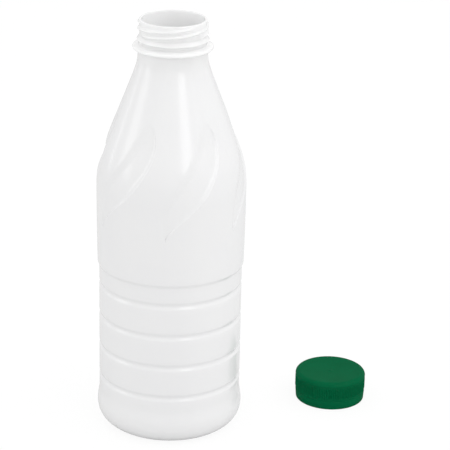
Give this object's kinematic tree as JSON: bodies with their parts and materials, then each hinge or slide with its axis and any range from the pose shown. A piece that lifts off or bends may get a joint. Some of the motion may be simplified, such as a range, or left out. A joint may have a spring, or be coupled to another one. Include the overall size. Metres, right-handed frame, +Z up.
{
  "type": "plastic milk bottle",
  "caption": "Empty white blow-moulded milk bottle with leaf-shaped hollows round the shoulder, a ringed label panel and an open screw neck; its green screw cap lies beside it.",
  "frame": {"origin": "on the surface both pieces stand on, at the middle of the rectangle that bottle and cap cover together", "axes": "+Z up along the bottle's axis; +X from the bottle towards the cap, as seen from the picture's side; the picture's camera is on the -Y side"},
  "size_m": [0.1553, 0.0895, 0.234],
  "materials": {
    "white_pet": "opaque white PET, stretch-blown, smooth and glossy",
    "green_polyethylene": "dark green polyethylene, injection moulded, satin with a finely ribbed skirt"
  },
  "bodies": {
    "root": {"bottle": "white_pet", "cap": "green_polyethylene"}
  },
  "joints": []
}
